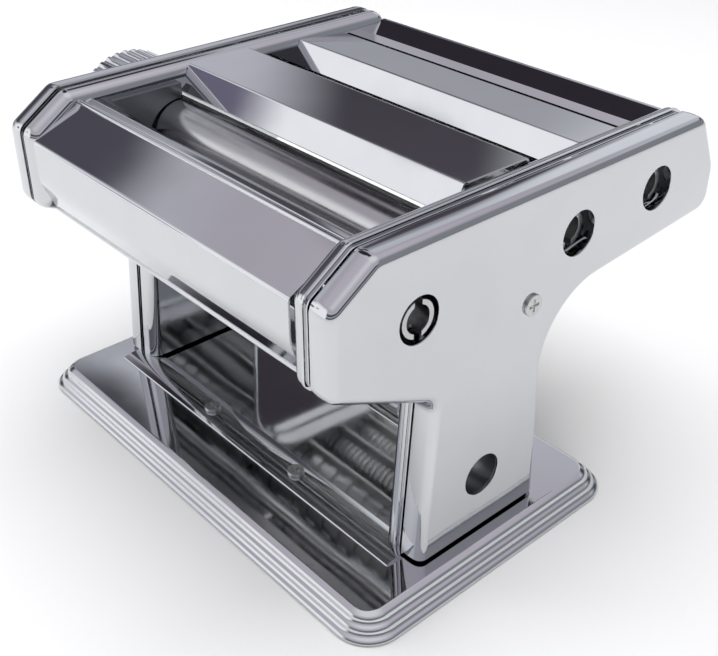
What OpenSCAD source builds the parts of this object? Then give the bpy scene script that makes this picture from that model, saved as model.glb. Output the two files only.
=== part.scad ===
// Hand cranked pasta machine: one smooth roller pair and two fixed cutter sets in a pressed housing.
// X runs along the rollers with the crank side at +X, Y runs to the back, Z is up.

/* [Base plate] */
// How far the base plate reaches out beyond each side cover
base_margin = 14; // [8:0.5:20]
// Depth of the base plate, front to back
base_d = 143; // [130:1:156]
// Corner radius of the base plate
base_corner = 16; // [14:1:24]
// Height of the base plate's top above the table
base_h = 9.5; // [8:0.5:12]
// Width of each ledge of the stepped rim
rim_ledge = 3; // [2.4:0.1:4]
// Sheet thickness of the base plate
base_sheet = 1; // [0.8:0.1:1.4]
// Diameter of the rubber feet
foot_d = 16; // [12:1:20]

/* [Side outline] */
// Nose front, measured in front of the base's middle
nose_reach = 73.8; // [70:0.1:78]
// Height of the top edge above the table
top_h = 150.6; // [148:0.1:156]
// Depth below the top edge where the nose turns into the top slope
nose_top_drop = 13; // [10:0.1:16]
// Front end of the level top edge, in front of the middle
slope_reach = 54.5; // [50:0.1:60]
// Rear end of the level top edge, behind the middle
top_back_reach = 115; // [112:0.1:120]
// Rear tip of the arm, behind the middle
rear_reach = 134.5; // [132:0.1:140]
// Depth of the arm's rear tip below the top edge
rear_low_drop = 38.4; // [37:0.1:44]
// Where the arm's underside meets the pillar's back edge, behind the middle
arm_root_reach = 29.5; // [27:0.1:32]
// Depth of that meeting point below the top edge
arm_root_drop = 48.7; // [46:0.1:52]
// Pillar's back edge at the table, behind the middle
pillar_back_reach = 35.9; // [33:0.1:40]
// Pillar's front edge at the table, in front of the middle
pillar_front_reach = 32.7; // [30:0.1:36]
// Throat between nose and pillar, in front of the middle
throat_reach = 26.7; // [25:0.1:29]
// Depth of the throat below the top edge
throat_drop = 67.9; // [62:0.1:72]
// Depth of the nose's lower corner below the top edge
nose_low_drop = 46.2; // [43:0.1:50]
// Corner radius of the side plates
side_r = 6; // [5.2:0.1:8]
// Radius of the sweep from arm to pillar
sweep_r = 30; // [24:1:34]
// Radius of the throat
throat_r = 7; // [5:0.5:10]

/* [Side plates] */
// Clear width between the two inner frames
frame_gap = 164; // [158:1:170]
// Sheet thickness of the frames
frame_sheet = 1.2; // [1:0.1:1.5]
// Depth of a frame's turned edge
flange_w = 7.5; // [7:0.1:9]
// Dark seam between frame and cover
seam_gap = 3; // [2:0.1:4]
// Depth of a side cover
cover_depth = 10; // [9:0.1:12]
// Sheet thickness of the covers
cover_sheet = 1; // [0.8:0.1:1.2]
// Rounding of the covers' and frames' pressed edges
press_r = 3.6; // [2.6:0.1:4]

/* [Smooth rollers] */
// Diameter of both smooth rollers
roller_d = 29.2; // [28.6:0.1:29.4]
// Axis of the crank-driven roller, in front of the middle
drive_reach = 36; // [35:0.1:37]
// Depth of the crank-driven roller's axis below the top edge
drive_drop = 29.1; // [28:0.1:31]
// Distance between the roller axes at the middle thickness setting
roller_pitch = 31; // [30.9:0.05:31.3]
// Throw of the eccentric axle
axle_throw = 1.5; // [1.2:0.05:1.6]
// Height of the adjustable roller above the driven one at the middle setting
roller_lift = 0.74; // [0.5:0.02:0.9]
// Number of teeth on each roller gear
roller_teeth = 14; // [14]
// Tip radius of the roller gears
roller_gear_tip = 16.4; // [16:0.1:16.5]

/* [Cutters] */
// Axis of the wide cutters' driven shaft, behind the middle
wide_reach = 44.2; // [43:0.1:46]
// Depth of the wide cutters' axes below the top edge
wide_drop = 25.4; // [24:0.1:27]
// Axis of the narrow cutters' driven shaft, behind the middle
narrow_reach = 90.9; // [90:0.1:92]
// Depth of the narrow cutters' axes below the top edge
narrow_drop = 22.1; // [21:0.1:23.5]
// Distance between the two axes of a cutter pair
cutter_pitch = 20; // [19.8:0.1:20.4]
// Outer diameter of a cutter
cutter_d = 21; // [20.8:0.1:21.2]
// Depth of a cutter's grooves
groove_depth = 1.3; // [1.2:0.1:1.6]
// Width of the wide strips
wide_strip = 6.5; // [6:0.1:6.8]
// Width of the narrow strips
narrow_strip = 2; // [1.8:0.1:2.2]
// Number of teeth on each cutter gear
cutter_teeth = 12; // [12]
// Tip radius of the cutter gears
cutter_gear_tip = 11.3; // [11:0.1:11.4]

/* [Crank sockets and clamp] */
// Outer diameter of the notched drive hubs
hub_d = 14.4; // [13.6:0.1:15]
// Bore of the drive hubs, which takes the crank
socket_d = 10.4; // [9.6:0.1:11]
// Depth of the crank bore
socket_depth = 12; // [10:0.5:12]
// Diameter of the cover's holes round the hubs
port_d = 17.8; // [16.8:0.1:18.6]
// Bore of the clamp socket
clamp_d = 17.8; // [16:0.1:18.4]
// Height of the clamp socket's axis
clamp_h = 36.8; // [32:0.1:42]

/* [Thickness knob] */
// Diameter of the knob
knob_d = 55; // [50:1:58]
// Length of the knob along its axis
knob_len = 18.2; // [18:0.1:20]
// Pull needed to free the index pin
knob_pull = 4; // [3:0.5:4.4]
// Number of thickness settings
settings = 9; // [9]
// Angle between two settings
setting_step = 18; // [16:1:18]

/* [Top plates] */
// Sheet thickness of the covers and guides on top
panel_sheet = 0.8; // [0.6:0.1:1]
// Radius of the rolled hems
hem_r = 1.2; // [1:0.1:1.4]
// Width of the cross straps under the feet
strap_w = 15.5; // [14:0.5:18]
// Diameter of the tie rods
tie_d = 7; // [6:0.5:7.5]

/* [Hidden] */

chrome = [0.80, 0.81, 0.83];
steel = [0.62, 0.62, 0.64];
dark_steel = [0.34, 0.35, 0.37];
bronze = [0.66, 0.50, 0.28];
rubber = [0.08, 0.08, 0.09];

// Steps on each rounded corner of a pressed outline, and on a pressed edge
arc_steps = 6;
edge_steps = 4;
round_fn = 64;
// Overrun of every cut past the surface that it opens
over = 0.5;
// Gap of a turning shaft in its bush, measured on the radius
running = 0.05;
// Gap of a pressed or seated round part, measured on the radius
seat = 0.03;
// Gap between moving parts and what stands still beside them
clear = 0.4;

half_gap = frame_gap / 2;
frame_face = half_gap + frame_sheet;
frame_out = half_gap + flange_w;
cover_in = frame_out + seam_gap;
cover_out = cover_in + cover_depth;
cover_face = cover_out - cover_sheet;
strap_sheet = 1.5;
side_foot = base_h + strap_sheet;
base_w = 2 * (cover_out + base_margin);

// Heights in the head, all measured down from the top edge
nose_top_h = top_h - nose_top_drop;
rear_low_h = top_h - rear_low_drop;
arm_root_h = top_h - arm_root_drop;
throat_h = top_h - throat_drop;
nose_low_h = top_h - nose_low_drop;
drive_h = top_h - drive_drop;
wide_h = top_h - wide_drop;
narrow_h = top_h - narrow_drop;

// Point or corner whose second value is its depth below the top edge
function below_top(p) = [for (i = [0 : len(p) - 1]) i == 1 ? top_h - p[i] : p[i]];

roller_r = roller_d / 2;
// Axes as [y, z]
drive_axis = [-drive_reach, drive_h];
adjust_axis = [roller_pitch - drive_reach, drive_h + roller_lift];
knob_axis = adjust_axis - [0, axle_throw];
wide_axis = [wide_reach, wide_h];
wide_mate = wide_axis + [cutter_pitch, 0];
narrow_axis = [narrow_reach, narrow_h];
narrow_mate = narrow_axis + [cutter_pitch, 0];
clamp_axis = [0.9, clamp_h];
cover_screw_spot = [21, 46.1];
cover_screw_axis = below_top(cover_screw_spot);
knob_sweep = setting_step * (settings - 1) / 2;
// Closest distance between the roller axes, which the gear teeth are cut for
closest_pitch = roller_pitch - axle_throw * sin(knob_sweep);

// Unit vector along v
function along(v) = v / norm(v);

// Turn from u to v: positive to the left
function turn_of(u, v) = u[0] * v[1] - u[1] * v[0];

// Rounded corner at b between a and c, as pairs of point and outward normal
function corner(a, b, c, r) =
    let (
        u = along(a - b),
        v = along(c - b),
        side = turn_of(b - a, c - b) > 0 ? 1 : -1,
        centre = b + along(u + v) * r / sin(acos(u * v) / 2),
        start = atan2(u[0], -u[1]),
        sweep = side * (180 - acos(u * v))
    )
    [
        for (i = [0 : arc_steps])
            let (t = start + sweep * i / arc_steps, n = [cos(t), sin(t)])
            [centre + side * r * n, n]
    ];

// Closed outline from corners [x, y, radius], listed counter-clockwise
function rounded(corners) =
    let (last = len(corners))
    [
        for (i = [0 : last - 1])
            let (a = corners[(i + last - 1) % last], b = corners[i], c = corners[(i + 1) % last])
            each corner([a[0], a[1]], [b[0], b[1]], [c[0], c[1]], b[2])
    ];

// Open path through corners [x, y, radius], with its two ends as they are
function bent(corners) =
    let (last = len(corners) - 1)
    [
        [corners[0][0], corners[0][1]],
        for (i = [1 : last - 1])
            let (a = corners[i - 1], b = corners[i], c = corners[i + 1])
            for (p = corner([a[0], a[1]], [b[0], b[1]], [c[0], c[1]], b[2]))
                p[0],
        [corners[last][0], corners[last][1]]
    ];

// Point i of a path moved to its left by the distance t
function beside(path, i, t) =
    let (
        before = along(path[max(i, 1)] - path[max(i, 1) - 1]),
        after = along(path[min(i + 1, len(path) - 1)] - path[min(i, len(path) - 2)]),
        mid = along(before + after)
    )
    path[i] + [-mid[1], mid[0]] * t / (mid * after);

// Section of a sheet bent along a path, with its thickness to the left
module sheet_section(path, t)
{
    last = len(path) - 1;
    polygon(concat(path, [for (i = [last : -1 : 0]) beside(path, i, t)]));
}

// Rows [inset, height] of a pressed edge: a wall that rounds over into the flat
function pressed_rows(depth, r) = concat(
    [[0, 0]],
    [for (i = [0 : edge_steps]) let (t = 90 * i / edge_steps) [r * (1 - cos(t)), depth - r * (1 - sin(t))]]
);

// Shallow tray pressed from sheet: rows run from the free edge to the flat,
// and the whole outline can be seen from its first point
module pressed(line, rows, t)
{
    inner = [for (i = [len(rows) - 1 : -1 : 0]) [rows[i][0] + t, rows[i][1] - (i == 0 ? 0 : t)]];
    loop = concat(rows, inner);
    count = len(line);
    flat = len(rows) - 1;
    points = [
        for (row = loop)
            for (p = line)
                [p[0][0] - row[0] * p[1][0], p[0][1] - row[0] * p[1][1], row[1]]
    ];
    walls = [
        for (r = [0 : len(loop) - 1])
            if (r != flat)
                for (i = [0 : count - 1])
                    let (
                        a = r * count + i,
                        b = r * count + (i + 1) % count,
                        up = ((r + 1) % len(loop) - r) * count
                    )
                    each [[a, a + up, b + up], [a, b + up, b]]
    ];
    // Both flats fan out from the outline's first point
    flats = [
        for (i = [1 : count - 2])
            let (a = flat * count, b = a + count)
            each [[a, a + i + 1, a + i], [b, b + i, b + i + 1]]
    ];
    polyhedron(points = points, faces = concat(walls, flats), convexity = 8);
}

// Outline of the side plates in the YZ plane, open below the feet
side_corners = [
    [-slope_reach, top_h, side_r],
    [-nose_reach, nose_top_h, side_r],
    [-nose_reach, nose_low_h, side_r],
    [-throat_reach, throat_h, throat_r],
    [-pillar_front_reach, -side_r, side_r],
    [pillar_back_reach, -side_r, side_r],
    [arm_root_reach, arm_root_h, sweep_r],
    [rear_reach, rear_low_h, side_r],
    [top_back_reach, top_h, side_r]
];
// It starts at a point of the top edge that sees both the nose and the arm
side_line = concat([[[0, top_h], [0, 1]]], rounded(side_corners));

base_corners = [
    [-base_w / 2, -base_d / 2, base_corner],
    [base_w / 2, -base_d / 2, base_corner],
    [base_w / 2, base_d / 2, base_corner],
    [-base_w / 2, base_d / 2, base_corner]
];
rim_low = 0.8;
rim_r = 1.3;
rim_steps = 2;
rim_rise = (base_h - rim_low) / 3;
base_rows = concat(
    [[0, rim_low]],
    [
        for (k = [0 : 2])
            for (i = [0 : rim_steps])
                let (t = 90 * i / rim_steps, s = k * rim_ledge, h = rim_low + (k + 1) * rim_rise)
                [s + rim_r * (1 - cos(t)), h - rim_r * (1 - sin(t))]
    ]
);

// Middle of the whole machine in plan: the origin lies under it
knob_start = cover_out + 2.7;
knob_end = knob_start + knob_len;
rear_most = max([for (p = side_line) p[0][0]]);
middle_x = (base_w / 2 - knob_end) / 2;
middle_y = (rear_most - nose_reach) / 2;

// Puts a piece drawn from the base's middle where the origin asks for it
module placed()
{
    translate([-middle_x, -middle_y, 0])
        children();
}

// Turns a drawing in the YZ plane so that its height runs outwards from x
module outward(x)
{
    translate([x, 0, 0])
        rotate([90, 0, 90])
        children();
}

// The same, with its height running inwards from x
module inward(x)
{
    translate([x, 0, 0])
        mirror([1, 0, 0])
        rotate([90, 0, 90])
        children();
}

// Plain round bar along X
module bar(axis, x, length, r)
{
    translate([x, axis[0], axis[1]])
        rotate([0, 90, 0])
        cylinder(r = r, h = length, $fn = round_fn);
}

// Ring along X
module ring(axis, x, length, outer, inner)
{
    difference()
    {
        bar(axis, x, length, outer);
        bar(axis, x - over, length + 2 * over, inner);
    }
}

module mirror_copy()
{
    children();
    mirror([1, 0, 0])
        children();
}

// Panel bent from sheet that spans the frames
module panel(path, t)
{
    translate([-frame_gap / 2, 0, 0])
        rotate([90, 0, 90])
        union()
        {
            linear_extrude(frame_gap)
                sheet_section(path, t);
            if ($children > 0)
                linear_extrude(frame_gap)
                children();
        }
}

// Base plate

module base_plate()
{
    color(chrome)
    placed()
    difference()
    {
        pressed(rounded(base_corners), base_rows, base_sheet);
        foot_holes(-over, base_h + over);
    }
}

foot_inset = 17;

module rubber_feet()
{
    color(rubber)
    placed()
    for (x = [-1, 1], y = [-1, 1])
        translate([x * (base_w / 2 - foot_inset), y * (base_d / 2 - foot_inset), 0])
            cylinder(r = foot_d / 2, h = base_h - base_sheet, $fn = round_fn);
}

// Straps across the base, which the frames' feet stand on

screw_r = 2;
screw_head_r = 3.6;
screw_head_h = 1.6;
strap_len = 188;
front_strap_y = -32.7;
rear_strap_y = 30;
strap_screw_x = 30;
strap_screw_spots = [for (x = [-strap_screw_x, strap_screw_x], y = [front_strap_y, rear_strap_y]) [x, y]];
// Feet of the frames, turned outwards over the straps between frame and cover
tab_w = 9;
tab_len = 13;
tab_front_y = -30;
tab_rear_y = 24.5;
foot_screw_r = 1.5;
foot_screw_x = 87.5;
foot_screw_in = 2.2;
foot_screw_spots = [
    for (x = [-foot_screw_x, foot_screw_x], y = [tab_front_y + foot_screw_in, tab_rear_y + tab_w / 2]) [x, y]
];

module foot_holes(low, high)
{
    for (p = strap_screw_spots)
        translate([p[0], p[1], low])
            cylinder(r = screw_r + seat, h = high - low, $fn = round_fn);
    for (p = foot_screw_spots)
        translate([p[0], p[1], low])
            cylinder(r = foot_screw_r + seat, h = high - low, $fn = round_fn);
}

module strap(y)
{
    straight = strap_len - strap_w;
    difference()
    {
        translate([0, y, base_h])
            linear_extrude(strap_sheet)
            {
                square([straight, strap_w], center = true);
                for (x = [-1, 1])
                    translate([x * straight / 2, 0])
                        circle(r = strap_w / 2, $fn = round_fn);
            }
        foot_holes(base_h - over, side_foot + over);
    }
}

module front_cross_strap()
{
    color(chrome)
    placed()
    strap(front_strap_y);
}

module rear_cross_strap()
{
    color(chrome)
    placed()
    strap(rear_strap_y);
}

// Cross-head screw that points down from the origin, with its head above
module screw_down(head_r, head_h, shank_r, shank)
{
    difference()
    {
        union()
        {
            cylinder(r = head_r, h = head_h, $fn = round_fn);
            translate([0, 0, -shank])
                cylinder(r = shank_r, h = shank + head_h / 2, $fn = round_fn);
        }
        for (a = [0, 90])
            rotate(a)
                translate([0, 0, head_h])
                cube([head_r * cross_len_share, head_r * cross_wide_share, head_h * cross_deep_share], center = true);
    }
}

cross_len_share = 1.2;
cross_wide_share = 0.25;
cross_deep_share = 1.1;
nut_r = 3.9;
nut_h = 3;

module strap_screws()
{
    color(steel)
    placed()
    for (p = strap_screw_spots)
        translate([p[0], p[1], side_foot])
            screw_down(screw_head_r, screw_head_h, screw_r, strap_sheet + base_sheet + nut_h);
}

module strap_nuts()
{
    color(steel)
    placed()
    for (p = strap_screw_spots)
        translate([p[0], p[1], base_h - base_sheet - nut_h])
            difference()
            {
                cylinder(r = nut_r, h = nut_h, $fn = 6);
                translate([0, 0, -over])
                    cylinder(r = screw_r + seat, h = nut_h + 2 * over, $fn = round_fn);
            }
}

foot_head_r = 2.8;
foot_head_h = 1.2;

module foot_screws()
{
    color(steel)
    placed()
    for (p = foot_screw_spots)
        translate([p[0], p[1], base_h - base_sheet])
            mirror([0, 0, 1])
            screw_down(foot_head_r, foot_head_h, foot_screw_r, base_sheet + strap_sheet + 2 * frame_sheet);
}

// Inner frames

frame_rows = pressed_rows(flange_w, press_r);
bush_wall = 1.4;
drive_bush_r = hub_d / 2 + running + bush_wall;
mate_journal_r = 5;
mate_bush_r = mate_journal_r + running + bush_wall;
sleeve_r = 10;
neck_r = 10.2;
neck_hole_r = neck_r + axle_throw + 2 * clear;
tie_drops = [[-62, 38.6], [12, 43.6], [121.5, 32.1]];
tie_spots = [for (p = tie_drops) below_top(p)];
tie_screw_r = 2;
bridge_spot_rise = 21.5;
bridge_spots = [for (s = [-1, 1]) knob_axis + [0, s * bridge_spot_rise]];
drive_axes = [drive_axis, wide_axis, narrow_axis];
mate_axes = [wide_mate, narrow_mate];

module frame_blank()
{
    difference()
    {
        inward(frame_out)
            pressed(side_line, frame_rows, frame_sheet);
        // Everything below the feet
        translate([half_gap - over, -nose_reach, -2 * side_r])
            cube([flange_w + 2 * over, 2 * nose_reach, side_foot + 2 * side_r]);
        for (a = drive_axes)
            bar(a, half_gap - over, flange_w, drive_bush_r + seat);
        for (a = mate_axes)
            bar(a, half_gap - over, flange_w, mate_bush_r + seat);
        for (p = tie_spots)
            bar(p, half_gap - over, flange_w, tie_screw_r + seat);
        bar(cover_screw_axis, half_gap - over, flange_w, post_tenon_r + seat);
    }
    difference()
    {
        for (y = [tab_front_y, tab_rear_y])
            translate([half_gap, y, side_foot])
                cube([tab_len, tab_w, frame_sheet]);
        foot_holes(side_foot - over, side_foot + frame_sheet + over);
    }
}

guard_peg_r = 2;
guard_peg_drops = [[-26, 11.6], [-12, 10.4]];
guard_pegs = [for (p = guard_peg_drops) below_top(p)];

module right_frame()
{
    color(chrome)
    placed()
    difference()
    {
        frame_blank();
        bar(clamp_axis, half_gap - over, flange_w, clamp_d / 2);
        bar(knob_axis, half_gap - over, flange_w, neck_hole_r);
        for (p = bridge_spots)
            bar(p, half_gap - over, flange_w, tie_screw_r + seat);
        for (p = guard_pegs)
            bar(p, half_gap - over, flange_w, guard_peg_r + seat);
    }
}

module left_frame()
{
    color(chrome)
    placed()
    mirror([1, 0, 0])
    difference()
    {
        frame_blank();
        bar(knob_axis, half_gap - over, flange_w, sleeve_r + seat);
        for (p = guard_pegs)
            bar(p, half_gap - over, flange_w, guard_peg_r + seat);
    }
}

// Outer side covers

cover_rows = pressed_rows(cover_depth, press_r);
post_r = 4.5;
post_tenon_r = 2.5;
dimple_spot = [117.5, 28.6];
dimple_axis = below_top(dimple_spot);
dimple_r = 3;
dimple_depth = 0.4;

module cover_blank()
{
    difference()
    {
        outward(cover_in)
            pressed(side_line, cover_rows, cover_sheet);
        translate([cover_in - over, -nose_reach, -2 * side_r])
            cube([cover_depth + 2 * over, 2 * nose_reach, side_foot + 2 * side_r]);
        bar(cover_screw_axis, cover_in, cover_depth + over, screw_r + seat);
    }
}

module right_cover()
{
    color(chrome)
    placed()
    difference()
    {
        cover_blank();
        for (a = drive_axes)
            bar(a, cover_in, cover_depth + over, port_d / 2);
        bar(clamp_axis, cover_in, cover_depth + over, clamp_d / 2);
        translate([cover_out + dimple_r - dimple_depth, dimple_axis[0], dimple_axis[1]])
            sphere(r = dimple_r, $fn = round_fn);
    }
}

module left_cover()
{
    color(chrome)
    placed()
    mirror([1, 0, 0])
    difference()
    {
        cover_blank();
        bar(knob_axis, cover_in, cover_depth + over, axle_r + 2 * clear);
        for (p = index_screw_spots)
            bar(p, cover_in, cover_depth + over, tie_screw_r + seat);
    }
}

module cover_standoffs()
{
    color(steel)
    placed()
    mirror_copy()
    difference()
    {
        union()
        {
            bar(cover_screw_axis, frame_face, cover_face - frame_face, post_r);
            bar(cover_screw_axis, half_gap, frame_sheet + over, post_tenon_r);
        }
        bar(cover_screw_axis, frame_face + frame_sheet, cover_face - frame_face, screw_r + seat);
    }
}

cover_head_r = 4.3;
cover_head_h = 1.1;
cover_shank = 12;

module cover_screws()
{
    color(steel)
    placed()
    mirror_copy()
    translate([cover_out, cover_screw_axis[0], cover_screw_axis[1]])
        rotate([0, 90, 0])
        screw_down(cover_head_r, cover_head_h, screw_r, cover_shank);
}

// Bent covers and guides on top

// Paths as [y, z, bend radius]; their thickness lies to the left, on the inside
front_drops = [[-50.7, 4.2], [-73.2, 15.8, 2.4], [-73.2, 33.6, 22], [-67, 47.2]];
feed_drops = [[-48.4, 10.8], [-48.4, 4.4, 1], [-44.7, 3.7, 1.2], [-43, 11.8]];
middle_drops = [[-1.8, 11.2], [3.7, 0.3, 1], [36.6, 0.3, 2.5], [42.2, 10.8]];
rear_drops = [[60, 12.4], [65.5, 2.6, 1], [94, 5.4, 1.4], [95.6, 10.8]];
back_drops = [[106.6, 10.7], [109, 8, 1.2], [115.9, 2.4, 2.4], [130.8, 31.8, 5], [126, 37]];
front_bends = [for (p = front_drops) below_top(p)];
feed_bends = [for (p = feed_drops) below_top(p)];
middle_bends = [for (p = middle_drops) below_top(p)];
rear_bends = [for (p = rear_drops) below_top(p)];
back_bends = [for (p = back_drops) below_top(p)];
front_path = bent(front_bends);
feed_path = bent(feed_bends);
middle_path = bent(middle_bends);
rear_path = bent(rear_bends);
back_path = bent(back_bends);
lug_drop = [-72.8, 32.1];
lug_spot = below_top(lug_drop);
lug_w = 12;
roll_sink = 0.25;

// Rolled edge inside a guide's front crest
module roll(crest)
{
    translate([crest[0] + hem_r, crest[1] - hem_r - roll_sink])
        circle(r = hem_r, $fn = round_fn);
}

module front_cover()
{
    color(chrome)
    placed()
    panel(front_path, panel_sheet)
    {
        for (i = [0, len(front_path) - 1])
            translate(beside(front_path, i, panel_sheet / 2))
                circle(r = hem_r, $fn = round_fn);
    }
    // Lugs at both ends, which the frames hold
    placed()
    mirror_copy()
    translate([half_gap - panel_sheet, lug_spot[0], lug_spot[1]])
        cube([panel_sheet, lug_w, lug_w]);
}

module front_feed_plate()
{
    color(chrome)
    placed()
    panel(feed_path, -panel_sheet);
}

module middle_guide()
{
    color(chrome)
    placed()
    panel(middle_path, -panel_sheet)
        roll(middle_bends[1]);
}

module rear_guide()
{
    color(chrome)
    placed()
    panel(rear_path, -panel_sheet)
        roll(rear_bends[1]);
}

module back_cover()
{
    color(chrome)
    placed()
    panel(back_path, -panel_sheet)
        translate(beside(back_path, len(back_path) - 1, -panel_sheet / 2))
        circle(r = hem_r, $fn = round_fn);
}

// Rods, guards, scrapers and combs between the frames

tie_bore = 15;
tie_shank = 12;

module tie_rods()
{
    color(steel)
    placed()
    for (p = tie_spots)
        difference()
        {
            bar(p, -half_gap, frame_gap, tie_d / 2);
            mirror_copy()
            bar(p, half_gap - tie_bore, tie_bore + over, tie_screw_r + seat);
        }
}

module tie_rod_screws()
{
    color(steel)
    placed()
    for (p = tie_spots)
        mirror_copy()
        translate([frame_face, p[0], p[1]])
            rotate([0, 90, 0])
            screw_down(screw_head_r, screw_head_h, tie_screw_r, tie_shank);
}

guard_sheet = 2.5;
guard_drop = 6.6;
guard_top_h = top_h - guard_drop;
guard_back_y = -3;
// Slanted front edge: all its points have this sum of y and z, which clears the driven roller
guard_edge = drive_axis[0] + drive_axis[1] + (roller_r + clear) * sqrt(2);

module dough_guard()
{
    translate([half_gap - guard_sheet, 0, 0])
        rotate([90, 0, 90])
        linear_extrude(guard_sheet)
        difference()
        {
            polygon([
                [guard_back_y, guard_top_h],
                [guard_edge - guard_top_h, guard_top_h],
                [guard_edge - adjust_axis[1], adjust_axis[1]],
                [guard_back_y, adjust_axis[1]]
            ]);
            translate(knob_axis)
                circle(r = roller_r + axle_throw + clear, $fn = 2 * round_fn);
        }
    for (p = guard_pegs)
        bar(p, half_gap - guard_sheet / 2, guard_sheet / 2 + frame_sheet, guard_peg_r);
}

module left_dough_guard()
{
    color(dark_steel)
    placed()
    mirror([1, 0, 0])
    dough_guard();
}

module right_dough_guard()
{
    color(dark_steel)
    placed()
    dough_guard();
}

scraper_sheet = 1;
scraper_drop = 11;
scraper_run = 7;
// Angle below the level where each scraper reaches its roller
scraper_turn = 45;
front_scraper_edge = drive_axis + (roller_r + clear + scraper_sheet) * [cos(scraper_turn), -sin(scraper_turn)];
rear_scraper_edge = knob_axis
    - (roller_r + axle_throw + clear + scraper_sheet) * [cos(scraper_turn), sin(scraper_turn)];
front_scraper_path = [
    front_scraper_edge,
    front_scraper_edge - [scraper_run, scraper_drop],
    front_scraper_edge - [2 * scraper_run, scraper_drop]
];
rear_scraper_path = [
    rear_scraper_edge,
    rear_scraper_edge + [scraper_run, -scraper_drop],
    rear_scraper_edge + [2 * scraper_run, -scraper_drop]
];

module front_scraper()
{
    color(steel)
    placed()
    panel(front_scraper_path, scraper_sheet);
}

module rear_scraper()
{
    color(steel)
    placed()
    panel(rear_scraper_path, -scraper_sheet);
}

cutter_r = cutter_d / 2;
core_r = cutter_r - groove_depth;
// Gap at each side of a ring that runs in the mate's groove
ring_side = 0.06;
comb_sheet = 1.5;
comb_side = 0.25;
comb_rise = 17;
finger_gap = 0.3;

// Middles of a cutter's rings along X; the mate's rings stand between them
function ring_spots(strip, mate) =
    let (room = half_gap - clear - strip / 2, last = floor((room - (mate ? strip : 0)) / (2 * strip)))
    [for (k = [mate ? -last - 1 : -last : last]) 2 * strip * k + (mate ? strip : 0)];

// Comb plate below one cutter, with a finger in each of its grooves
module comb(axis, strip, fingers)
{
    low = axis[1] - comb_rise;
    shoulder = axis[1] - cutter_r - 2 * finger_gap;
    tip = axis[1] - core_r - finger_gap;
    half = strip / 2 + ring_side - comb_side;
    translate([0, axis[0] + comb_sheet / 2, 0])
        rotate([90, 0, 0])
        linear_extrude(comb_sheet)
        polygon([
            [half_gap, low],
            [half_gap, shoulder],
            for (i = [len(fingers) - 1 : -1 : 0])
                let (x = fingers[i])
                each [[x + half, shoulder], [x + half, tip], [x - half, tip], [x - half, shoulder]],
            [-half_gap, shoulder],
            [-half_gap, low]
        ]);
}

module wide_combs()
{
    color(steel)
    placed()
    {
        comb(wide_axis, wide_strip, ring_spots(wide_strip, true));
        comb(wide_mate, wide_strip, ring_spots(wide_strip, false));
    }
}

module narrow_combs()
{
    color(steel)
    placed()
    {
        comb(narrow_axis, narrow_strip, ring_spots(narrow_strip, true));
        comb(narrow_mate, narrow_strip, ring_spots(narrow_strip, false));
    }
}

clamp_tube_wall = 1.6;

module clamp_tube()
{
    color(dark_steel)
    placed()
    ring(clamp_axis, frame_face, cover_face - frame_face, clamp_d / 2 + clamp_tube_wall, clamp_d / 2);
}

// Bearings

bush_flange = 1.2;
flange_rise = 1.6;
bush_len = 4.4;

module bush(axis, bore, outer)
{
    difference()
    {
        union()
        {
            bar(axis, half_gap, bush_len, outer);
            bar(axis, frame_face, bush_flange, outer + flange_rise);
        }
        bar(axis, half_gap - over, bush_len + 2 * over, bore);
    }
}

module drive_bushes()
{
    color(bronze)
    placed()
    mirror_copy()
    for (a = drive_axes)
        bush(a, hub_d / 2 + running, drive_bush_r);
}

module cutter_bushes()
{
    color(bronze)
    placed()
    mirror_copy()
    for (a = mate_axes)
        bush(a, mate_journal_r + running, mate_bush_r);
}

axle_r = 8;
sleeve_len = 6;
sleeve_flange_r = 12.5;

module axle_sleeve()
{
    color(bronze)
    placed()
    mirror([1, 0, 0])
    difference()
    {
        union()
        {
            bar(knob_axis, half_gap, sleeve_len, sleeve_r);
            bar(knob_axis, frame_face, bush_flange, sleeve_flange_r);
        }
        bar(knob_axis, half_gap - over, sleeve_len + 2 * over, axle_r + running);
    }
}

// Bridge outside the right frame that carries the axle's far end

bridge_sheet = 2;
bridge_x = 97.5;
bridge_w = 11;
bridge_post_r = 3;
pin_r = 4;
bridge_shank = 8;

module axle_bridge()
{
    color(steel)
    placed()
    difference()
    {
        union()
        {
            translate([bridge_x, knob_axis[0] - bridge_w / 2, knob_axis[1] - bridge_spot_rise])
                cube([bridge_sheet, bridge_w, 2 * bridge_spot_rise]);
            for (p = bridge_spots)
            {
                bar(p, bridge_x, bridge_sheet, bridge_w / 2);
                bar(p, frame_face, bridge_x - frame_face + bridge_sheet / 2, bridge_post_r);
                bar(p, half_gap, frame_sheet + over, tie_screw_r);
            }
        }
        bar(knob_axis, bridge_x - over, bridge_sheet + 2 * over, pin_r + running);
        for (p = bridge_spots)
            bar(p, bridge_x - bridge_shank, bridge_shank + bridge_sheet + over, bridge_screw_r + seat);
    }
}

bridge_screw_r = 1.5;
bridge_head_r = 2.8;
bridge_head_h = 1.4;

module bridge_screws()
{
    color(steel)
    placed()
    for (p = bridge_spots)
        translate([bridge_x + bridge_sheet, p[0], p[1]])
            rotate([0, 90, 0])
            screw_down(bridge_head_r, bridge_head_h, bridge_screw_r, bridge_shank);
}

// Thickness setting on the left: index plate, knob, axle

index_sheet = 1.5;
index_r = 24;
index_pitch_r = 20;
index_hole_r = 1.9;
index_screw_rise = 12.5;
index_screw_spots = [for (s = [-1, 1]) knob_axis + [s * index_screw_rise, 0]];
stem_r = 6;

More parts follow.
